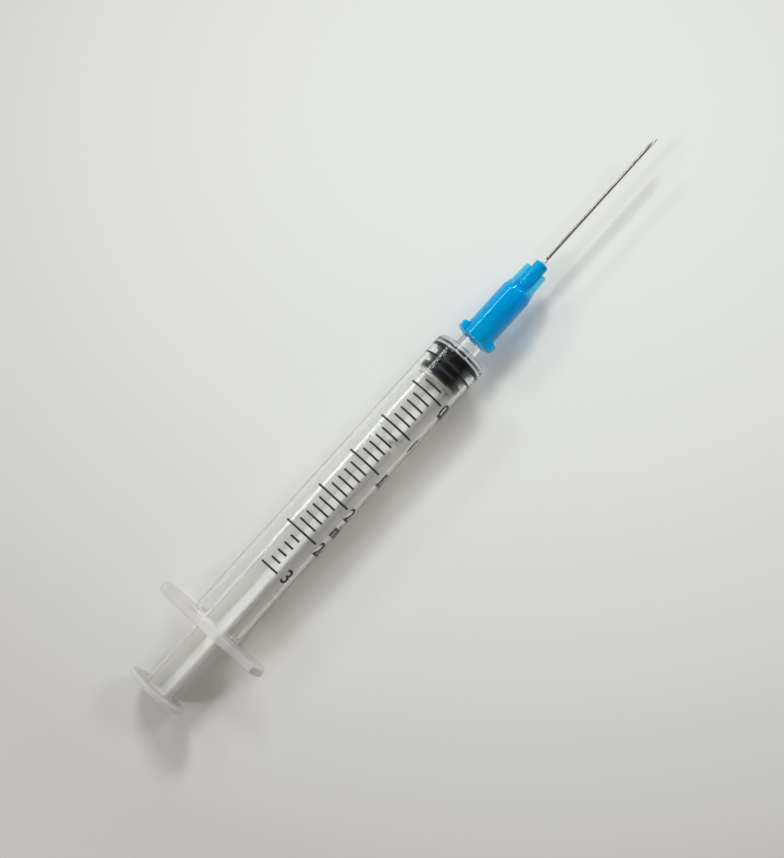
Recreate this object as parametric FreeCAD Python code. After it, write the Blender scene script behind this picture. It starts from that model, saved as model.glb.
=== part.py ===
import FreeCAD, Part
import math
import os

# A 3 mL slip-tip syringe with its needle, lying on its side.
# Sizes are in millimetres. The axis runs along X, the needle points to +X and +Z is up.
# Stations along the axis are counted from the scale's zero line, forward being positive.

# Barrel
bore_diameter = 8.75
barrel_wall = 0.875
capacity_ml = 3.0
scale_end_to_mouth = 16.0
front_wall = 1.6
front_corner_round = 1.2
front_cone_height = 0.4
mouth_lead_in = 0.3
stop_ridge_inset = 2.0
stop_ridge_height = 0.28
stop_ridge_width = 1.0
stop_ridge_round = 0.3

# Finger flange on the barrel's mouth
flange_span = 24.0
flange_height = 12.4
flange_thickness = 1.6
flange_edge_round = 0.45
flange_root_round = 0.45

# Slip nozzle, a male 6 % luer cone
luer_taper_ratio = 0.06
nozzle_tip_diameter = 3.96
nozzle_length = 8.7
nozzle_bore_diameter = 2.0
nozzle_root_round = 0.4
nozzle_tip_round = 0.25

# Rubber stopper
stopper_clearance = 0.04
stopper_front_overhang = 0.7
stopper_length = 5.35
stopper_end_gap = 0.1
rear_rib_width = 1.15
middle_rib_width = 0.65
front_rib_width = 1.0
middle_rib_setback = 2.3
groove_depth = 0.75
groove_round = 0.3
seal_rib_round = 0.22

# Plunger rod
rib_span = 6.8
rib_thickness = 0.9
rib_roll_deg = 45.0
rib_inner_round = 0.35
rib_edge_round = 0.12
press_diameter = 12.2
press_thickness = 1.1
press_edge_round = 0.4
press_root_round = 0.5
press_to_mouth = 13.15
backing_plate_diameter = 7.9
backing_plate_thickness = 0.9
backing_plate_round = 0.2
neck_diameter = 3.6
neck_length = 1.2
head_diameter = 5.2
head_length = 1.9
head_cone_height = 0.7
head_clearance = 0.05
break_notch_station = -19.0
break_notch_width = 3.0
break_notch_depth = 2.2
cut_overrun = 0.5

# Needle hub, a female 6 % luer cone
nozzle_exposed = 2.7
luer_clearance = 0.02
socket_depth = 9.6
socket_cone_height = 1.2
hub_length = 19.2
hub_body_diameter = 5.95
hub_body_length = 11.8
hub_shoulder_round = 3.0
hub_waist_length = 2.2
hub_waist_diameter = 4.95
hub_waist_round = 3.0
hub_nose_diameter = 2.75
hub_nose_round = 0.2
hub_rim_round = 0.25
lug_span = 7.9
lug_width = 3.8
lug_base_length = 2.2
lug_tip_length = 1.35
lug_round = 0.3
fin_span = 4.6
fin_thickness = 0.9
fin_end_to_nose = 1.6
fin_end_round = 0.3
scoop_setback = 0.3
scoop_length = 2.0
scoop_round = 1.2
glue_well_diameter = 1.9
glue_well_depth = 1.7

# Cannula and the adhesive that holds it
cannula_diameter = 0.64
cannula_bore = 0.34
cannula_exposed = 32.5
cannula_back_reach = 0.8
bevel_angle_deg = 12.0
lancet_angle_deg = 19.0
lancet_roll_deg = 32.0
bevel_roll_deg = -40.0
bond_gap = 0.01
glue_meniscus_length = 1.1
glue_meniscus_skin = 0.12
glue_meniscus_round = 0.5

# Stations along the axis
bore_radius = bore_diameter / 2
barrel_radius = bore_radius + barrel_wall
scale_length = capacity_ml * 1000.0 / (math.pi * bore_radius ** 2)
mouth = -scale_length - scale_end_to_mouth
flange_front = mouth + flange_thickness
stopper_front = stopper_front_overhang
stopper_back = stopper_front - stopper_length
chamber_front = stopper_front + stopper_end_gap
barrel_front = chamber_front + front_wall
nozzle_tip = barrel_front + nozzle_length
stop_ridge = mouth + stop_ridge_inset
press_front = mouth - press_to_mouth
press_back = press_front - press_thickness
plate_front = stopper_back - head_clearance
plate_back = plate_front - backing_plate_thickness
neck_front = plate_front + neck_length
head_front = neck_front + head_length
hub_back = barrel_front + nozzle_exposed
hub_shoulder = hub_back + hub_body_length
hub_waist = hub_shoulder + hub_waist_length
scoop_back = hub_shoulder + scoop_setback
scoop_front = scoop_back + scoop_length
hub_front = hub_back + hub_length
fins_front = hub_front - fin_end_to_nose
socket_floor = hub_back + socket_depth
channel_back = socket_floor + socket_cone_height
cannula_back = channel_back - cannula_back_reach
cannula_tip = hub_front + cannula_exposed

# The frame: the middle of the whole length, standing on the lowest point
rest_height = max(flange_height, press_diameter) / 2
middle_station = (press_back + cannula_tip) / 2

axis_point = FreeCAD.Vector(0, 0, 0)
axis_direction = FreeCAD.Vector(1, 0, 0)


def nozzle_radius(station):
    return nozzle_tip_diameter / 2 + luer_taper_ratio / 2 * (nozzle_tip - station)


# A corner of an outline, rounded where its radius is not zero
def corner_points(before, here, after, radius):
    if radius == 0:
        return here, here, None
    to_before = (before - here).normalize()
    to_after = (after - here).normalize()
    half_angle = to_before.getAngle(to_after) / 2
    reach = radius / math.tan(half_angle)
    inward = (to_before + to_after).normalize()
    centre = here + inward * (radius / math.sin(half_angle))
    return here + to_before * reach, here + to_after * reach, centre - inward * radius


# A flat face from corners given as (first, second, round), with a function that places them
def rounded_face(corners, place):
    points = [place(first, second) for first, second, radius in corners]
    last = len(points) - 1
    stops = []
    for number, corner in enumerate(corners):
        after = points[0] if number == last else points[number + 1]
        stops.append(corner_points(points[number - 1], points[number], after, corner[2]))
    edges = []
    for number, (start, end, middle) in enumerate(stops):
        if middle is not None:
            edges.append(Part.Arc(start, middle, end).toShape())
        next_start = stops[0][0] if number == last else stops[number + 1][0]
        if (next_start - end).Length > 1e-6:
            edges.append(Part.LineSegment(end, next_start).toShape())
    return Part.Face(Part.Wire(edges))


# A solid of revolution about the syringe's axis from (station, radius, round) corners
def turned(corners):
    section = rounded_face(corners, lambda station, radius: FreeCAD.Vector(station, 0, radius))
    return section.revolve(axis_point, axis_direction, 360)


# A block centred on the axis in Y and Z
def centred_block(back, front, width, height):
    corner = FreeCAD.Vector(back, -width / 2, -height / 2)
    return Part.makeBox(front - back, width, height, corner)


# Barrel: one moulding of tube, front wall, slip nozzle, stop ridge and flange
def barrel_tube():
    nozzle_bore = nozzle_bore_diameter / 2
    root_radius = barrel_radius + flange_root_round
    chamber_centre = chamber_front + front_cone_height
    ridge_radius = bore_radius - stop_ridge_height
    outside = [
        (mouth, root_radius, 0),
        (flange_front, root_radius, 0),
        (flange_front, barrel_radius, flange_root_round),
        (barrel_front, barrel_radius, front_corner_round),
        (barrel_front, nozzle_radius(barrel_front), nozzle_root_round),
        (nozzle_tip, nozzle_radius(nozzle_tip), nozzle_tip_round),
        (nozzle_tip, nozzle_bore, 0),
    ]
    inside = [
        (chamber_centre, nozzle_bore, 0),
        (chamber_front, bore_radius, 0),
        (stop_ridge + stop_ridge_width / 2, bore_radius, 0),
        (stop_ridge, ridge_radius, stop_ridge_round),
        (stop_ridge - stop_ridge_width / 2, bore_radius, 0),
        (mouth + mouth_lead_in, bore_radius, 0),
        (mouth, bore_radius + mouth_lead_in, 0),
    ]
    return turned(outside + inside)


def flange_plate():
    corner = FreeCAD.Vector(mouth, 0, 0)
    disc = Part.makeCylinder(flange_span / 2, flange_thickness, corner, axis_direction)
    plate = disc.common(centred_block(mouth, flange_front, flange_span, flange_height))
    plate = plate.makeFillet(flange_edge_round, plate.Edges)
    return plate.cut(Part.makeCylinder(barrel_radius, flange_thickness, corner, axis_direction))


def barrel():
    return barrel_tube().fuse(flange_plate()).removeSplitter()


# Stopper: three sealing ribs outside, a hollow for the rod's head inside
def seal_ribs():
    middle_back = stopper_back + middle_rib_setback
    return [
        (stopper_back, stopper_back + rear_rib_width),
        (middle_back, middle_back + middle_rib_width),
        (stopper_front - front_rib_width, stopper_front),
    ]


def stopper():
    rib_radius = bore_radius - stopper_clearance
    groove_radius = rib_radius - groove_depth
    outline = []
    for rib_back, rib_front in seal_ribs():
        if rib_back > stopper_back:
            outline.append((rib_back, groove_radius, groove_round))
        outline.append((rib_back, rib_radius, seal_rib_round))
        outline.append((rib_front, rib_radius, seal_rib_round))
        if rib_front < stopper_front:
            outline.append((rib_front, groove_radius, groove_round))
    neck_radius = neck_diameter / 2 + head_clearance
    hollow_radius = head_diameter / 2 + head_clearance
    hollow_back = neck_front - head_clearance
    hollow_front = head_front + head_clearance
    outline += [
        (stopper_front + front_cone_height, 0, 0),
        (hollow_front, 0, 0),
        (hollow_front - head_cone_height, hollow_radius, 0),
        (hollow_back, hollow_radius, 0),
        (hollow_back, neck_radius, 0),
        (stopper_back, neck_radius, 0),
    ]
    return turned(outline)


# Plunger rod: crossed ribs with break notches, thumb press, backing plate and head
def cross_face(back):
    far = rib_span / 2
    near = rib_thickness / 2
    arm = [(near, -near, rib_inner_round), (far, -near, rib_edge_round), (far, near, rib_edge_round)]
    corners = []
    for turn in range(4):
        angle = math.radians(90 * turn)
        for first, second, radius in arm:
            turned_first = first * math.cos(angle) - second * math.sin(angle)
            turned_second = first * math.sin(angle) + second * math.cos(angle)
            corners.append((turned_first, turned_second, radius))
    return rounded_face(corners, lambda first, second: FreeCAD.Vector(back, first, second))


def crossed_ribs():
    ribs = cross_face(press_front).extrude(FreeCAD.Vector(plate_back - press_front, 0, 0))
    rib_reach = rib_span / 2
    notch_floor = rib_reach - break_notch_depth
    slope = break_notch_depth / (break_notch_width / 2)
    half_mouth = break_notch_width / 2 + cut_overrun / slope
    notch = turned([
        (break_notch_station, notch_floor, 0),
        (break_notch_station + half_mouth, rib_reach + cut_overrun, 0),
        (break_notch_station - half_mouth, rib_reach + cut_overrun, 0),
    ])
    return ribs.cut(notch)


def thumb_press():
    return turned([
        (press_back, 0, 0),
        (press_back, press_diameter / 2, press_edge_round),
        (press_front, press_diameter / 2, press_edge_round),
        (press_front, 0, 0),
    ])


def rod_head():
    return turned([
        (plate_back, 0, 0),
        (plate_back, backing_plate_diameter / 2, backing_plate_round),
        (plate_front, backing_plate_diameter / 2, backing_plate_round),
        (plate_front, neck_diameter / 2, 0),
        (neck_front, neck_diameter / 2, 0),
        (neck_front, head_diameter / 2, 0),
        (head_front - head_cone_height, head_diameter / 2, 0),
        (head_front, 0, 0),
    ])


def in_press_plane(edge):
    in_plane = all(abs(vertex.X - press_front) < 1e-4 for vertex in edge.Vertexes)
    return in_plane and len(edge.Vertexes) == 2


def plunger_rod():
    rod = crossed_ribs().fuse(thumb_press())
    root_edges = [edge for edge in rod.Edges if in_press_plane(edge)]
    rod = rod.makeFillet(press_root_round, root_edges)
    rod = rod.fuse(rod_head()).removeSplitter()
    rod.rotate(axis_point, axis_direction, rib_roll_deg)
    return rod


# Needle hub: luer socket behind, two lugs, a body scooped to two fins and a nose
def hub_body():
    return turned([
        (hub_back, 0, 0),
        (hub_back, hub_body_diameter / 2, hub_rim_round),
        (hub_shoulder, hub_body_diameter / 2, hub_shoulder_round),
        (hub_waist, hub_waist_diameter / 2, hub_waist_round),
        (fins_front, fin_span / 2, fin_end_round),
        (fins_front, 0, 0),
    ])


def scooped_block():
    half_fin = fin_thickness / 2
    drop = hub_body_diameter / 2 - half_fin
    top = hub_body_diameter / 2 + cut_overrun
    top_front = scoop_back - cut_overrun * scoop_length / drop
    profile = [
        (hub_back, -top, 0),
        (top_front, -top, 0),
        (scoop_front, -half_fin, scoop_round),
        (fins_front, -half_fin, 0),
        (fins_front, half_fin, 0),
        (scoop_front, half_fin, scoop_round),
        (top_front, top, 0),
        (hub_back, top, 0),
    ]
    side = -hub_body_diameter / 2 - cut_overrun
    face = rounded_face(profile, lambda station, height: FreeCAD.Vector(station, side, height))
    return face.extrude(FreeCAD.Vector(0, -2 * side, 0))


def hub_nose():
    return turned([
        (scoop_back, 0, 0),
        (scoop_back, hub_nose_diameter / 2, 0),
        (hub_front, hub_nose_diameter / 2, hub_nose_round),
        (hub_front, 0, 0),
    ])


def hub_hollow():
    socket_mouth = nozzle_radius(hub_back) + luer_clearance
    socket_end = socket_mouth - luer_taper_ratio / 2 * socket_depth
    channel = cannula_diameter / 2 + bond_gap
    return turned([
        (hub_back, 0, 0),
        (hub_back, socket_mouth, 0),
        (socket_floor, socket_end, 0),
        (channel_back, channel, 0),
        (hub_front - glue_well_depth, channel, 0),
        (hub_front, glue_well_diameter / 2, 0),
        (hub_front, 0, 0),
    ])


def hub_lugs():
    base_radius = hub_body_diameter / 2 - hub_rim_round
    slope_length = (lug_base_length - lug_tip_length) / 2
    ring = turned([
        (hub_back, base_radius, 0),
        (hub_back + slope_length, lug_span / 2, lug_round),
        (hub_back + slope_length + lug_tip_length, lug_span / 2, lug_round),
        (hub_back + lug_base_length, base_radius, 0),
    ])
    return ring.common(centred_block(hub_back, hub_back + lug_base_length, lug_span, lug_width))


def needle_hub():
    body = hub_body().common(scooped_block())
    return body.fuse([hub_nose(), hub_lugs()]).cut(hub_hollow()).removeSplitter()


# Adhesive: fills the well in the hub's nose and climbs the cannula a little
def adhesive():
    inner = cannula_diameter / 2 + bond_gap
    floor_station = hub_front - glue_well_depth + bond_gap
    return turned([
        (floor_station + bond_gap, inner, 0),
        (hub_front, glue_well_diameter / 2 - bond_gap, 0),
        (hub_front + glue_meniscus_length / 3, inner + glue_meniscus_skin, glue_meniscus_round),
        (hub_front + glue_meniscus_length, inner + glue_meniscus_skin / 2, 0),
        (hub_front + glue_meniscus_length, inner, 0),
    ])


# Cannula: a steel tube with a lancet point
def point_cutter(angle_deg, roll_deg):
    point = FreeCAD.Vector(cannula_tip, 0, -cannula_diameter / 2)
    reach = cannula_diameter * 20
    corner = FreeCAD.Vector(cannula_tip - reach, -reach, -cannula_diameter / 2)
    cutter = Part.makeBox(reach * 2, reach * 2, reach, corner)
    cutter.rotate(point, FreeCAD.Vector(0, 1, 0), angle_deg)
    cutter.rotate(point, axis_direction, roll_deg)
    return cutter


def cannula():
    start = FreeCAD.Vector(cannula_back, 0, 0)
    length = cannula_tip - cannula_back
    tube = Part.makeCylinder(cannula_diameter / 2, length, start, axis_direction)
    tube = tube.cut(Part.makeCylinder(cannula_bore / 2, length, start, axis_direction))
    tube = tube.cut(point_cutter(bevel_angle_deg, 0))
    for roll in (-lancet_roll_deg, lancet_roll_deg):
        tube = tube.cut(point_cutter(lancet_angle_deg, roll))
    tube.rotate(axis_point, axis_direction, bevel_roll_deg)
    return tube


# Every piece is set into the frame and written to its own file
def save_piece(name, shape):
    shape.translate(FreeCAD.Vector(-middle_station, 0, rest_height))
    solids = shape.Solids
    print(name, "solids", len(solids), "valid", shape.isValid(), "mm3", round(shape.Volume, 3))
    solids[0].exportStep("parts/" + name + ".step")


os.makedirs("parts", exist_ok=True)
save_piece("barrel", barrel())
save_piece("stopper", stopper())
save_piece("plunger_rod", plunger_rod())
save_piece("needle_hub", needle_hub())
save_piece("adhesive", adhesive())
save_piece("cannula", cannula())
print("length", round(cannula_tip - press_back, 2), "middle station", round(middle_station, 3))
print("travel", round(stopper_back - stop_ridge - stop_ridge_width / 2, 2))
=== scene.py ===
import math

import bpy
from mathutils import Matrix, Vector


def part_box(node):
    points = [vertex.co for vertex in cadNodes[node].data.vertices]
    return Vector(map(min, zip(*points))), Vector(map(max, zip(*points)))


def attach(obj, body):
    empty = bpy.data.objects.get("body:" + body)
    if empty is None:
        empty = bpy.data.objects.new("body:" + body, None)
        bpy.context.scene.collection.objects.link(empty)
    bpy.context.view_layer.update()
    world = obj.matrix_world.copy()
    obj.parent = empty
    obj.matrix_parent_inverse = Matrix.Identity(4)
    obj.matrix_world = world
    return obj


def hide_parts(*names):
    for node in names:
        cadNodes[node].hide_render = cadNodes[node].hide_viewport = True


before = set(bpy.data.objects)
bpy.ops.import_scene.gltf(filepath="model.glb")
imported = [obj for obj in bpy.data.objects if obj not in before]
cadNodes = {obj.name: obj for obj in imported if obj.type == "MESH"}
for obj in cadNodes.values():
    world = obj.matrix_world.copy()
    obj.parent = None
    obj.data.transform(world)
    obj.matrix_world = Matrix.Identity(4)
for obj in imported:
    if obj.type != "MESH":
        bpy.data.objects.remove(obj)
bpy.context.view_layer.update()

mm = 0.001
mergeDistance = 1e-4    # millimetres; vertices this close are one
axisHeight = sum(corner.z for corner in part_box("cannula")) / 2
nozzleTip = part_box("barrel")[1].x / mm
print("frame: axis", round(axisHeight / mm, 2), "mm up, nozzle tip at", round(nozzleTip, 2), "mm")

# the barrel's own sizes, which the print and the stopper follow, in millimetres
barrelSizes = {
    "outerRadius": 5.25,
    "boreRadius": 4.375,
    "zeroBehindTip": 11.1,    # the scale's zero line, counted from the nozzle's tip
    "perMl": 16.63,           # length of one millilitre in this bore
}
zeroStation = nozzleTip - barrelSizes["zeroBehindTip"]


# small helpers for work by operators
def deselectAll():
    if bpy.context.object and bpy.context.object.mode != "OBJECT":
        bpy.ops.object.mode_set(mode="OBJECT")
    bpy.ops.object.select_all(action="DESELECT")


def selectOnly(piece):
    deselectAll()
    piece.select_set(True)
    bpy.context.view_layer.objects.active = piece


def pickVerts(piece, test):
    # ends in edit mode, with only the vertices that pass the test selected
    bpy.ops.object.mode_set(mode="OBJECT")
    for face in piece.data.polygons:
        face.select = False
    for edge in piece.data.edges:
        edge.select = False
    for vert in piece.data.vertices:
        vert.select = test(vert.co)
    bpy.ops.object.mode_set(mode="EDIT")
    bpy.ops.mesh.select_mode(type="VERT")


def joinAs(name, parts):
    deselectAll()
    for part in parts:
        part.select_set(True)
    bpy.context.view_layer.objects.active = parts[0]
    if len(parts) > 1:
        bpy.ops.object.join()
    parts[0].name = name
    parts[0].data.name = name
    return parts[0]


def setIntoFrame(piece):
    # pieces are modelled in millimetres on the axis, with the scale's zero line at x = 0
    selectOnly(piece)
    piece.scale = (mm, mm, mm)
    piece.location = (zeroStation * mm, 0, axisHeight)
    bpy.ops.object.transform_apply(location=True, rotation=True, scale=True)


def outline(name, corners):
    # a chain of points from (station, radius, round) corners, grown by extruding one vertex
    deselectAll()
    first = Vector((corners[0][0], 0, corners[0][1]))
    bpy.ops.mesh.primitive_plane_add(size=1, location=first)
    piece = bpy.context.object
    piece.name = name
    bpy.ops.object.transform_apply(location=True)
    bpy.ops.object.mode_set(mode="EDIT")
    bpy.ops.mesh.select_all(action="SELECT")
    bpy.ops.mesh.merge(type="CENTER")
    here = first
    for station, radius, rounding in corners[1:]:
        there = Vector((station, 0, radius))
        bpy.ops.mesh.extrude_region_move(TRANSFORM_OT_translate={"value": there - here})
        here = there
    return piece


def roundCorners(piece, corners, segments):
    for number in range(1, len(corners) - 1):
        station, radius, rounding = corners[number]
        if rounding == 0:
            continue
        here = Vector((station, 0, radius))
        before = Vector((corners[number - 1][0], 0, corners[number - 1][1])) - here
        after = Vector((corners[number + 1][0], 0, corners[number + 1][1])) - here
        reach = rounding / math.tan(before.angle(after) / 2)
        pickVerts(piece, lambda co: (co - here).length < mergeDistance)
        bpy.ops.mesh.bevel(offset=reach, offset_type="OFFSET", segments=segments, affect="VERTICES")


def closeAndTurnOut():
    # merges doubles and turns all faces outwards, then leaves edit mode
    bpy.ops.mesh.select_all(action="SELECT")
    bpy.ops.mesh.remove_doubles(threshold=mergeDistance)
    bpy.ops.mesh.normals_make_consistent(inside=False)
    bpy.ops.object.mode_set(mode="OBJECT")


def lathe(name, corners, segments, steps):
    piece = outline(name, corners)
    roundCorners(piece, corners, segments)
    bpy.ops.mesh.select_all(action="SELECT")
    bpy.ops.mesh.spin(steps=steps, angle=math.tau, center=(0, 0, 0), axis=(1, 0, 0))
    closeAndTurnOut()
    return piece


# small helpers for materials
def newMaterial(name):
    material = bpy.data.materials.new(name)
    material.use_nodes = True
    tree = material.node_tree
    tree.nodes.clear()
    output = tree.nodes.new("ShaderNodeOutputMaterial")
    output.name = "surface"
    shader = tree.nodes.new("ShaderNodeBsdfPrincipled")
    tree.links.new(shader.outputs[0], output.inputs["Surface"])
    return material, tree, shader


def setShader(shader, values):
    for socket, value in values.items():
        shader.inputs[socket].default_value = value


def objectPoint(tree, stretch=(1, 1, 1), shift=(0, 0, 0)):
    place = tree.nodes.new("ShaderNodeTexCoord")
    mapping = tree.nodes.new("ShaderNodeMapping")
    mapping.inputs["Location"].default_value = shift
    mapping.inputs["Scale"].default_value = stretch
    tree.links.new(place.outputs["Object"], mapping.inputs["Vector"])
    return mapping.outputs["Vector"]


def objectXYZ(tree):
    place = tree.nodes.new("ShaderNodeSeparateXYZ")
    tree.links.new(objectPoint(tree), place.inputs[0])
    return place.outputs


def noise(tree, point, scale=1.0, detail=3.0):
    texture = tree.nodes.new("ShaderNodeTexNoise")
    texture.inputs["Scale"].default_value = scale
    texture.inputs["Detail"].default_value = detail
    tree.links.new(point, texture.inputs["Vector"])
    return texture.outputs["Fac"]


def spread(tree, value, low, high, fromLow=0.3, fromHigh=0.7):
    # low where the value starts and high where it ends; a noise mostly stays within 0.3 to 0.7
    remap = tree.nodes.new("ShaderNodeMapRange")
    remap.inputs["From Min"].default_value = fromLow
    remap.inputs["From Max"].default_value = fromHigh
    remap.inputs["To Min"].default_value = low
    remap.inputs["To Max"].default_value = high
    tree.links.new(value, remap.inputs["Value"])
    return remap.outputs["Result"]


def between(tree, factor, first, second):
    # the first colour may be another node's
    mix = tree.nodes.new("ShaderNodeMix")
    mix.data_type = "RGBA"
    mix.inputs["B"].default_value = (*second, 1)
    if isinstance(first, tuple):
        mix.inputs["A"].default_value = (*first, 1)
    else:
        tree.links.new(first, mix.inputs["A"])
    tree.links.new(factor, mix.inputs["Factor"])
    return mix.outputs["Result"]


def maths(tree, operation, *values):
    node = tree.nodes.new("ShaderNodeMath")
    node.operation = operation
    for index, value in enumerate(values):
        if isinstance(value, (int, float)):
            node.inputs[index].default_value = value
        else:
            tree.links.new(value, node.inputs[index])
    return node.outputs[0]


def vectorMaths(tree, operation, *vectors):
    node = tree.nodes.new("ShaderNodeVectorMath")
    node.operation = operation
    for index, vector in enumerate(vectors):
        tree.links.new(vector, node.inputs[index])
    return node.outputs["Value"]


def paint(tree, shader, colour, roughness):
    tree.links.new(colour, shader.inputs["Base Color"])
    tree.links.new(roughness, shader.inputs["Roughness"])


def bump(tree, shader, height, strength, distance):
    node = tree.nodes.new("ShaderNodeBump")
    node.inputs["Strength"].default_value = strength
    node.inputs["Distance"].default_value = distance
    tree.links.new(height, node.inputs["Height"])
    tree.links.new(node.outputs["Normal"], shader.inputs["Normal"])


def mixShaders(tree, factor, first, second, output):
    mix = tree.nodes.new("ShaderNodeMixShader")
    tree.links.new(factor, mix.inputs[0])
    tree.links.new(first.outputs[0], mix.inputs[1])
    tree.links.new(second.outputs[0], mix.inputs[2])
    tree.links.new(mix.outputs[0], output.inputs["Surface"])


rimFrom = (0.1, 0.6)    # how far a face turns away where its rim starts and where it is full


def letLampsThrough(tree, shader, look):
    # lamps reach what lies behind the plastic, dimmed at each face, and more where it curves away
    path = tree.nodes.new("ShaderNodeLightPath")
    bounces = maths(tree, "MULTIPLY", path.outputs["Is Diffuse Ray"], look["bouncesThrough"])
    passing = maths(tree, "MAXIMUM", path.outputs["Is Shadow Ray"], bounces)
    clear = tree.nodes.new("ShaderNodeBsdfTransparent")
    facing = tree.nodes.new("ShaderNodeLayerWeight")
    rim = spread(tree, facing.outputs["Facing"], 0, 1, *rimFrom)
    tree.links.new(between(tree, rim, look["shadow"], look["shadowRim"]), clear.inputs["Color"])
    mixShaders(tree, passing, shader, clear, tree.nodes["surface"])


# clear polypropylene of the barrel: faint flow lines, milky and matt where the flange is thick
clearLook = {
    "bright": (0.99, 0.99, 0.985),
    "dull": (0.975, 0.98, 0.97),
    "flange": (0.86, 0.85, 0.825),
    "flowStretch": (60, 300, 300),
    "roughness": (0.12, 0.15),
    "bending": 1.35,             # index of refraction
    "milkiness": 0.002,
    "flangeMilkiness": 0.24,
    "flangeRoughness": 0.20,     # added to the barrel's
    "milkyBehind": -0.0515,      # along the frame's X, in metres
    "milkyFade": 0.0012,
    "shadow": (0.955, 0.940, 0.920),
    "shadowRim": (0.70, 0.68, 0.64),
    "bouncesThrough": 0.45,      # share of the table's light that passes without being bent
}


def clearPlastic():
    look = clearLook
    material, tree, shader = newMaterial("clearPolypropylene")
    flow = noise(tree, objectPoint(tree, look["flowStretch"]))
    setShader(shader, {"IOR": look["bending"]})
    fadeFrom = look["milkyBehind"] - look["milkyFade"]
    thick = spread(tree, objectXYZ(tree)["X"], 1, 0, fadeFrom, look["milkyBehind"])
    colour = between(tree, flow, look["bright"], look["dull"])
    matt = spread(tree, flow, *look["roughness"])
    paint(tree, shader, between(tree, thick, colour, look["flange"]),
          maths(tree, "MULTIPLY_ADD", thick, look["flangeRoughness"], matt))
    clearness = spread(tree, thick, 1 - look["milkiness"], 1 - look["flangeMilkiness"], 0, 1)
    tree.links.new(clearness, shader.inputs["Transmission Weight"])
    letLampsThrough(tree, shader, look)
    return material


# milky polypropylene of the rod, with painted shade that darkens the ribs' outer edges and the press
milkyLook = {
    "light": (0.595, 0.592, 0.556),
    "deep": (0.552, 0.549, 0.514),
    # the edge colour is painted shade: darker where the ribs' outer edges and the press catch the most
    # lamplight
    "edge": (0.395, 0.392, 0.368),
    "edgeShadeFrom": (0.0029, 0.0033),    # metres from the axis
    "cloudStretch": (200, 600, 600),
    "roughness": (0.35, 0.50),
    "grain": 6.0,
    "grainBump": (0.06, 0.00003),    # strength, height in metres
    "bending": 1.49,
    "shine": 0.06,
    "scatter": 1.0,
    "scatterReach": (0.0060, 0.0058, 0.0054),
    "shadow": (0.30, 0.285, 0.255),
    "shadowRim": (0.22, 0.21, 0.19),
    "bouncesThrough": 0,
}


def milkyPlastic():
    look = milkyLook
    material, tree, shader = newMaterial("milkyPolypropylene")
    point = objectPoint(tree, look["cloudStretch"])
    cloud = noise(tree, point)
    setShader(shader, {
        "IOR": look["bending"],
        "Specular IOR Level": look["shine"],
        "Subsurface Weight": look["scatter"],
        "Subsurface Scale": 1.0,
        "Subsurface Radius": look["scatterReach"],
    })
    fromAxis = vectorMaths(tree, "LENGTH", objectPoint(tree, (0, 1, 1), (0, 0, -axisHeight)))
    # the painted shade grows outwards from the axis over the given distances
    edge = spread(tree, fromAxis, 0, 1, *look["edgeShadeFrom"])
    colour = between(tree, cloud, look["light"], look["deep"])
    paint(tree, shader, between(tree, edge, colour, look["edge"]),
          spread(tree, cloud, *look["roughness"]))
    bump(tree, shader, noise(tree, point, look["grain"]), *look["grainBump"])
    letLampsThrough(tree, shader, look)
    return material


# black rubber with a film of silicone oil
rubberLook = {
    "black": (0.0035, 0.0040, 0.0050),
    "grey": (0.0090, 0.0095, 0.0110),
    "smear": 500.0,
    "roughness": (0.20, 0.28),
    "grain": 2500.0,
    "grainBump": (0.08, 0.00002),
    "bending": 1.5,
    "shine": 0.15,
}


def blackRubber():
    look = rubberLook
    material, tree, shader = newMaterial("blackRubber")
    point = objectPoint(tree)
    smear = noise(tree, point, look["smear"])
    setShader(shader, {"IOR": look["bending"], "Specular IOR Level": look["shine"]})
    paint(tree, shader, between(tree, smear, look["black"], look["grey"]),
          spread(tree, smear, *look["roughness"]))
    bump(tree, shader, noise(tree, point, look["grain"]), *look["grainBump"])
    return material


# blue translucent polypropylene of the hub; the thin fins get a paler colour, painted light that
# stands in for light passing through them
hubLook = {
    "light": (0.000, 0.390, 0.800),
    "deep": (0.000, 0.305, 0.700),
    # this paler colour is painted light: the fins are lightened to stand in for light shining through
    # the thin plastic
    "thinFinLight": (0.13, 0.47, 0.76),
    "thinAhead": (0.0290, 0.0300),      # along the frame's X, in metres
    "thinSides": (0.00130, 0.00160),    # to each side of the axis
    "cloudStretch": (250, 700, 700),
    "roughness": (0.07, 0.12),
    "grain": 5.0,
    "grainBump": (0.05, 0.00002),
    "bending": 1.49,
    "clearness": 0.15,
    "shine": 0.6,
    "shineColour": (0.25, 0.85, 1.0),
    "scatter": 1.0,
    "scatterReach": (0.0008, 0.0045, 0.0055),
    "shadow": (0.45, 0.58, 0.70),
    "shadowRim": (0.22, 0.34, 0.45),
    "bouncesThrough": 0,
}


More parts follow.
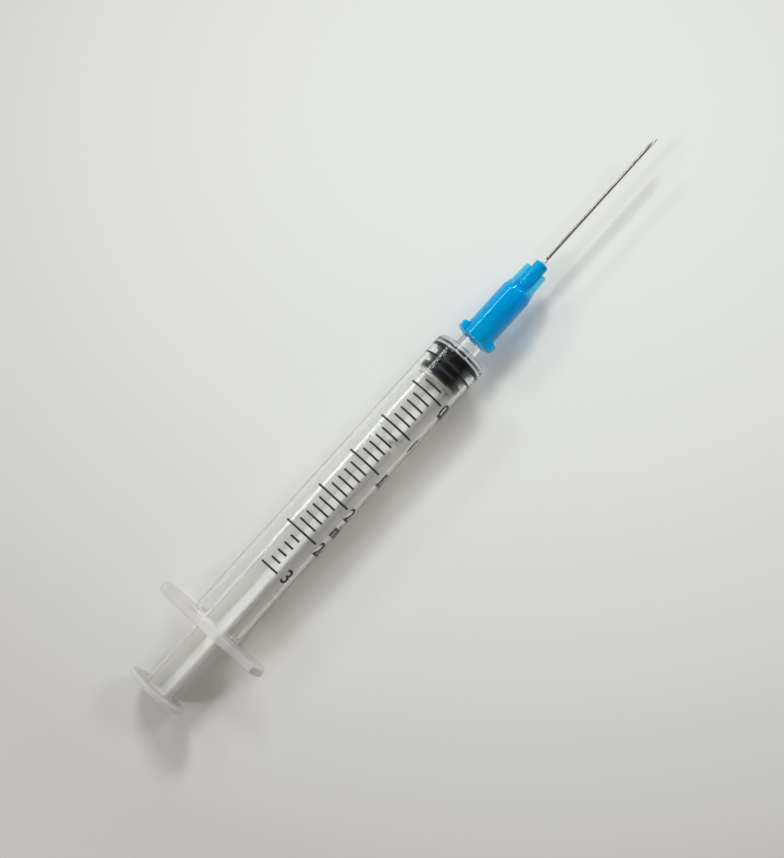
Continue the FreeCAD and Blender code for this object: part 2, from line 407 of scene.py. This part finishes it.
def blueHub():
    look = hubLook
    material, tree, shader = newMaterial("blueHubPlastic")
    point = objectPoint(tree, look["cloudStretch"])
    cloud = noise(tree, point)
    setShader(shader, {
        "IOR": look["bending"],
        "Transmission Weight": look["clearness"],
        "Specular IOR Level": look["shine"],
        "Specular Tint": (*look["shineColour"], 1),
        "Subsurface Weight": look["scatter"],
        "Subsurface Scale": 1.0,
        "Subsurface Radius": look["scatterReach"],
    })
    place = objectXYZ(tree)
    ahead = spread(tree, place["X"], 0, 1, *look["thinAhead"])
    aside = spread(tree, maths(tree, "ABSOLUTE", place["Y"]), 0, 1, *look["thinSides"])
    # mask of the fins, where the paler painted light goes
    thinFinLight = maths(tree, "MULTIPLY", ahead, aside)
    colour = between(tree, cloud, look["light"], look["deep"])
    paint(tree, shader, between(tree, thinFinLight, colour, look["thinFinLight"]),
          spread(tree, cloud, *look["roughness"]))
    bump(tree, shader, noise(tree, point, look["grain"]), *look["grainBump"])
    letLampsThrough(tree, shader, look)
    return material


# cured resin in the hub's nose
resinLook = {
    "clear": (0.95, 0.96, 0.95),
    "cloudy": (0.86, 0.88, 0.88),
    "cloud": 1500.0,
    "roughness": (0.10, 0.30),
    "bending": 1.5,
    "clearness": 0.35,
}


def clearResin():
    look = resinLook
    material, tree, shader = newMaterial("curedResin")
    cloud = noise(tree, objectPoint(tree), look["cloud"])
    setShader(shader, {"IOR": look["bending"], "Transmission Weight": look["clearness"]})
    paint(tree, shader, between(tree, cloud, look["clear"], look["cloudy"]),
          spread(tree, cloud, *look["roughness"]))
    return material


# drawn stainless tube with draw lines along it
steelLook = {
    "light": (0.52, 0.51, 0.48),
    "dark": (0.28, 0.27, 0.25),
    "drawStretch": (150, 9000, 9000),
    "drawDetail": 2.0,
    "drawBump": (0.10, 0.00001),
    "roughness": (0.18, 0.34),
}


def drawnSteel():
    look = steelLook
    material, tree, shader = newMaterial("drawnSteel")
    lines = noise(tree, objectPoint(tree, look["drawStretch"]), detail=look["drawDetail"])
    setShader(shader, {"Metallic": 1.0})
    paint(tree, shader, between(tree, lines, look["light"], look["dark"]),
          spread(tree, lines, *look["roughness"]))
    bump(tree, shader, lines, *look["drawBump"])
    return material


# black ink of the scale
inkLook = {
    "black": (0.012, 0.012, 0.011),
    "grey": (0.040, 0.040, 0.036),
    "specks": 4000.0,
    "speckBump": (0.2, 0.00001),
    "roughness": (0.45, 0.65),
    "bending": 1.45,
}


def printInk():
    look = inkLook
    material, tree, shader = newMaterial("scaleInk")
    specks = noise(tree, objectPoint(tree), look["specks"])
    setShader(shader, {"IOR": look["bending"]})
    paint(tree, shader, between(tree, specks, look["black"], look["grey"]),
          spread(tree, specks, *look["roughness"]))
    bump(tree, shader, specks, *look["speckBump"])
    return material


def dress(piece, material):
    piece.data.materials.clear()
    piece.data.materials.append(material)


rubber = blackRubber()
ink = printInk()

dress(cadNodes["barrel"], clearPlastic())
dress(cadNodes["plunger_rod"], milkyPlastic())
dress(cadNodes["needle_hub"], blueHub())
dress(cadNodes["adhesive"], clearResin())
dress(cadNodes["cannula"], drawnSteel())
print("materials: barrel, rod, hub, resin and cannula dressed")


# stopper: the two front ribs are squeezed and wet against the bore, the rear one is dry
stopperSizes = {
    "back": -4.65,
    "front": 0.70,
    "coneHeight": 0.40,
    "grooveRadius": 3.585,
    "wetReach": 0.020,       # into the bore's wall
    "dryGap": 0.040,         # short of it
    "ribs": [(-4.65, 1.15, False), (-2.35, 0.65, True), (-0.30, 1.00, True)],    # back, width, wet
    "ribRound": 0.22,
    "grooveRound": 0.35,
    "neckRadius": 1.85,
    "hollowRadius": 2.65,
    "hollowBack": -3.5,
    "hollowFront": -1.5,
    "hollowTaper": 0.6,      # length of the cone that ends the hollow
    "hollowRound": 0.1,
    "roundSegments": 4,
    "steps": 128,
    "smoothUnder": 40,       # degrees between faces
}


def stopperPiece():
    size = stopperSizes
    corners = [(size["back"], size["neckRadius"], 0)]
    for back, width, wet in size["ribs"]:
        radius = barrelSizes["boreRadius"] + (size["wetReach"] if wet else -size["dryGap"])
        if back > size["back"]:
            corners.append((back, size["grooveRadius"], size["grooveRound"]))
        corners.append((back, radius, size["ribRound"]))
        corners.append((back + width, radius, size["ribRound"]))
        if back + width < size["front"]:
            corners.append((back + width, size["grooveRadius"], size["grooveRound"]))
    corners += [
        (size["front"] + size["coneHeight"], 0, 0),
        (size["hollowFront"], 0, 0),
        (size["hollowFront"] - size["hollowTaper"], size["hollowRadius"], size["hollowRound"]),
        (size["hollowBack"], size["hollowRadius"], size["hollowRound"]),
        (size["hollowBack"], size["neckRadius"], size["hollowRound"]),
        (size["back"], size["neckRadius"], 0),
    ]
    piece = lathe("stopperRubber", corners, size["roundSegments"], size["steps"])
    dress(piece, rubber)
    selectOnly(piece)
    bpy.ops.object.shade_smooth_by_angle(angle=math.radians(size["smoothUnder"]))
    setIntoFrame(piece)
    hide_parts("stopper")
    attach(piece, "stopper")


stopperPiece()
print("stopper: turned")


# printed scale: thin bars of ink bent round the barrel, in degrees from the top towards +Y
scaleSizes = {
    "inkUnder": 0.015,         # how deep the ink sits in the barrel
    "inkThickness": 0.030,
    "lineWidth": 0.40,
    "long": (33.9, -47.7),
    "short": (14.2, -26.9),
    "tiny": (4.9, -16.7),
    "tinyFrom": 2.6,           # millilitres
    "lastMl": 3.0,
    "linesPerMl": 10,
    "longEvery": 5,
    "degreesPerStep": 3,
    "fewestSteps": 4,
}
inkRadius = barrelSizes["outerRadius"] - scaleSizes["inkUnder"]


def turnRoundAxis(degrees):
    turn = math.radians(degrees)
    bpy.ops.transform.rotate(value=turn, orient_axis="X", center_override=(0, 0, 0))


def inkBar(ml, fromDegrees, toDegrees):
    # a little block on top of the barrel, spun into an arc
    size = scaleSizes
    middle = (-ml * barrelSizes["perMl"], 0, inkRadius + size["inkThickness"] / 2)
    deselectAll()
    bpy.ops.mesh.primitive_plane_add(size=1, location=(0, 0, 0))
    bar = bpy.context.object
    bpy.ops.object.mode_set(mode="EDIT")
    bpy.ops.mesh.select_all(action="SELECT")
    bpy.ops.transform.resize(value=(size["lineWidth"], size["inkThickness"], 1))
    turnRoundAxis(90)
    bpy.ops.transform.translate(value=middle)
    turnRoundAxis(fromDegrees)
    span = fromDegrees - toDegrees
    steps = max(size["fewestSteps"], round(span / size["degreesPerStep"]))
    bpy.ops.mesh.spin(steps=steps, angle=math.radians(span), center=(0, 0, 0), axis=(-1, 0, 0))
    closeAndTurnOut()
    return bar


def scaleLines():
    size = scaleSizes
    bars = []
    for number in range(1, round(size["lastMl"] * size["linesPerMl"]) + 1):
        ml = number / size["linesPerMl"]
        reach = size["short"]
        if number % size["longEvery"] == 0 and ml < size["lastMl"]:
            reach = size["long"]
        elif size["tinyFrom"] <= ml < size["lastMl"]:
            reach = size["tiny"]
        bars.append(inkBar(ml, *reach))
    piece = joinAs("scaleLines", bars)
    dress(piece, ink)
    setIntoFrame(piece)
    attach(piece, "barrel")


scaleLines()
print("scale: lines printed")


# scale numbers: text turned to mesh, cut into strips and wrapped round the barrel
numberSizes = {
    "height": 2.85,
    "narrowing": 0.98,
    "thickening": 0.018,
    "capHeight": 0.73,     # share of the font's size
    "curveSteps": 5,
    "strip": 0.25,
    "labels": [            # text, millilitres, degrees below the top where it starts
        ("0.5", 0.51, 55),
        ("1", 1.01, 56),
        ("1.5", 1.51, 56),
        ("2", 2.02, 56),
        ("mL", 2.245, 56),
        ("2.5", 2.51, 56),
        ("3", 2.955, 38),
    ],
}


def flatLabel(text):
    # the label lies flat, read along +X, with its middle line at y = 0
    size = numberSizes
    deselectAll()
    bpy.ops.object.text_add(location=(0, 0, 0))
    label = bpy.context.object
    label.data.body = text
    label.data.size = 1.0
    label.data.offset = size["thickening"]
    label.data.resolution_u = size["curveSteps"]
    bpy.context.view_layer.update()
    tall = size["height"] / size["capHeight"]
    label.scale = (tall * size["narrowing"], tall, tall)
    bpy.ops.object.convert(target="MESH")
    bpy.ops.object.transform_apply(location=True, rotation=True, scale=True)
    bpy.ops.object.mode_set(mode="EDIT")
    bpy.ops.mesh.select_all(action="SELECT")
    bpy.ops.transform.translate(value=(0, -size["height"] / 2, 0))
    width = max(vert.co.x for vert in label.data.vertices)
    cut = size["strip"]
    while cut < width:
        bpy.ops.mesh.select_all(action="SELECT")
        bpy.ops.mesh.bisect(plane_co=(cut, 0, 0), plane_no=(1, 0, 0))
        cut += size["strip"]
    bpy.ops.mesh.select_all(action="SELECT")
    rise = (0, 0, scaleSizes["inkThickness"])
    bpy.ops.mesh.extrude_region_move(TRANSFORM_OT_translate={"value": rise})
    bpy.ops.object.mode_set(mode="OBJECT")
    return label


def wrapLabel(label, ml, startDegrees):
    # reading distance becomes an angle round the barrel, starting below its top on the -Y side
    for vert in label.data.vertices:
        angle = math.radians(-startDegrees) - vert.co.x / barrelSizes["outerRadius"]
        radius = inkRadius + vert.co.z
        along = -ml * barrelSizes["perMl"] + vert.co.y
        vert.co = (along, radius * math.sin(angle), radius * math.cos(angle))
    selectOnly(label)
    bpy.ops.object.mode_set(mode="EDIT")
    bpy.ops.mesh.select_all(action="SELECT")
    bpy.ops.mesh.normals_make_consistent(inside=False)
    bpy.ops.object.mode_set(mode="OBJECT")


def scaleNumbers():
    labels = []
    for text, ml, startDegrees in numberSizes["labels"]:
        label = flatLabel(text)
        wrapLabel(label, ml, startDegrees)
        labels.append(label)
    piece = joinAs("scaleNumbers", labels)
    dress(piece, ink)
    setIntoFrame(piece)
    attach(piece, "barrel")


scaleNumbers()
print("scale: numbers printed")


# table top: a painted pool of lamplight, palest in an oval in front of the needle, with painted shade
# darkening it all round, melting into the walls far off
tableLook = {
    "size": 6.0,                       # metres
    # the pale colour is a painted pool of light, and the dim colour is painted shade where that light
    # falls off
    "pale": (0.790, 0.800, 0.768),
    "poolEdgeShade": (0.567, 0.550, 0.523),
    "palest": (0.0504, 0.0003, 0),     # middle of the oval
    "turned": -48.1,
    "reach": (0.1508, 0.1267, 1),      # from there to the painted shade colour, along the oval's two axes
    "meltsFrom": (0.22, 0.65),         # from the middle of the table
    "mottle": 350.0,
    "mottleDetail": 4.0,
    "mottleBump": (0.08, 0.0001),
    "roughness": 0.6,
    "shine": 0.25,
}


def tableTop():
    look = tableLook
    deselectAll()
    bpy.ops.mesh.primitive_plane_add(size=look["size"], location=(0, 0, 0))
    table = bpy.context.object
    table.name = "tableTop"
    material, tree, shader = newMaterial("paleTable")
    point = objectPoint(tree)
    setShader(shader, {"Roughness": look["roughness"], "Specular IOR Level": look["shine"]})
    oval = tree.nodes.new("ShaderNodeMapping")
    oval.vector_type = "TEXTURE"
    oval.inputs["Location"].default_value = look["palest"]
    oval.inputs["Rotation"].default_value = (0, 0, math.radians(look["turned"]))
    oval.inputs["Scale"].default_value = look["reach"]
    tree.links.new(point, oval.inputs["Vector"])
    # painted falloff of the lamplight, from the oval's middle outwards
    squared = vectorMaths(tree, "DOT_PRODUCT", oval.outputs["Vector"], oval.outputs["Vector"])
    poolFalloff = spread(tree, squared, 0, 1, 0, 1)
    tree.links.new(between(tree, poolFalloff, look["pale"], look["poolEdgeShade"]), shader.inputs["Base Color"])
    seen = spread(tree, vectorMaths(tree, "LENGTH", point), 1, 0, *look["meltsFrom"])
    tree.links.new(seen, shader.inputs["Alpha"])
    bump(tree, shader, noise(tree, point, look["mottle"], look["mottleDetail"]), *look["mottleBump"])
    dress(table, material)


tableTop()

lampSizes = {
    "distance": 1.1,                   # metres from the middle of the table
    "colour": (0.917, 0.958, 1.0),
    "lamps": [                         # name, direction, length, width, share of the table's light
        ("keyLamp", (0.75, 0.80, 1.0), 0.26, 0.18, 0.31),
        ("sideLamp", (-0.90, 0.40, 1.0), 0.26, 0.20, 0.15),
        ("cornerLamp", (-0.65, 0.78, 1.0), 0.26, 0.18, 0.055),
        ("lowLamp", (0.20, 1.50, 1.0), 0.36, 0.12, 0.080),
        ("backLamp", (0.90, -0.35, 1.0), 0.26, 0.26, 0.105),
    ],
}


def lamps():
    distance = lampSizes["distance"]
    colour = lampSizes["colour"]
    for name, direction, length, width, share in lampSizes["lamps"]:
        away = Vector(direction).normalized()
        light = bpy.data.lights.new(name, "AREA")
        light.shape = "RECTANGLE"
        light.size = length
        light.size_y = width
        light.color = colour
        light.energy = share * (math.pi * distance) ** 2 / away.z / colour[1]
        lamp = bpy.data.objects.new(name, light)
        bpy.context.scene.collection.objects.link(lamp)
        lengthwise = (Vector((1, 0, 0)) - away * away.x).normalized()
        turn = Matrix((lengthwise, away.cross(lengthwise), away)).transposed()
        lamp.matrix_world = Matrix.Translation(away * distance) @ turn.to_4x4()


lamps()

roomLook = {
    "light": (0.303, 0.281, 0.241),
    "walls": (0.70, 0.71, 0.69),
    "ceiling": (0.025, 0.025, 0.026),
    "wallsUpTo": 0.15,       # sine of the height where the walls start to darken
    "ceilingFrom": 0.50,
}


def surroundings():
    # an even light, and pale walls with a dark ceiling where the camera, gloss and glass look at it
    look = roomLook
    world = bpy.data.worlds.new("paleRoom")
    bpy.context.scene.world = world
    world.use_nodes = True
    tree = world.node_tree
    tree.nodes.clear()
    output = tree.nodes.new("ShaderNodeOutputWorld")
    path = tree.nodes.new("ShaderNodeLightPath")
    light = tree.nodes.new("ShaderNodeBackground")
    light.inputs["Color"].default_value = (*look["light"], 1)
    seen = tree.nodes.new("ShaderNodeBackground")
    place = tree.nodes.new("ShaderNodeTexCoord")
    height = tree.nodes.new("ShaderNodeSeparateXYZ")
    tree.links.new(place.outputs["Generated"], height.inputs[0])
    up = spread(tree, height.outputs["Z"], 0, 1, look["wallsUpTo"], look["ceilingFrom"])
    tree.links.new(between(tree, up, look["walls"], look["ceiling"]), seen.inputs["Color"])
    looking = maths(tree, "MAXIMUM", path.outputs["Is Camera Ray"], path.outputs["Is Glossy Ray"])
    looking = maths(tree, "MAXIMUM", looking, path.outputs["Is Transmission Ray"])
    mixShaders(tree, looking, light, seen, output)


surroundings()

cameraSizes = {
    "place": (-28.04, -22.08, 255.64),     # millimetres
    "looks": (0.0907, 0.0886, -0.9919),
    "pictureRight": (0.66785, -0.74428, 0),
    "lens": 58.09,
    "nearest": 0.01,                       # metres
}


def pictureCamera():
    data = bpy.data.cameras.new("pictureCamera")
    camera = bpy.data.objects.new("pictureCamera", data)
    bpy.context.scene.collection.objects.link(camera)
    looks = Vector(cameraSizes["looks"]).normalized()
    right = Vector(cameraSizes["pictureRight"])
    right = (right - looks * right.dot(looks)).normalized()
    turn = Matrix((right, right.cross(looks), -looks)).transposed()
    camera.matrix_world = Matrix.Translation(Vector(cameraSizes["place"]) * mm) @ turn.to_4x4()
    data.lens = cameraSizes["lens"]
    data.clip_start = cameraSizes["nearest"]
    bpy.context.scene.camera = camera


pictureCamera()
bpy.context.scene.view_settings.view_transform = "Standard"
print("room: table, lamps and camera set")
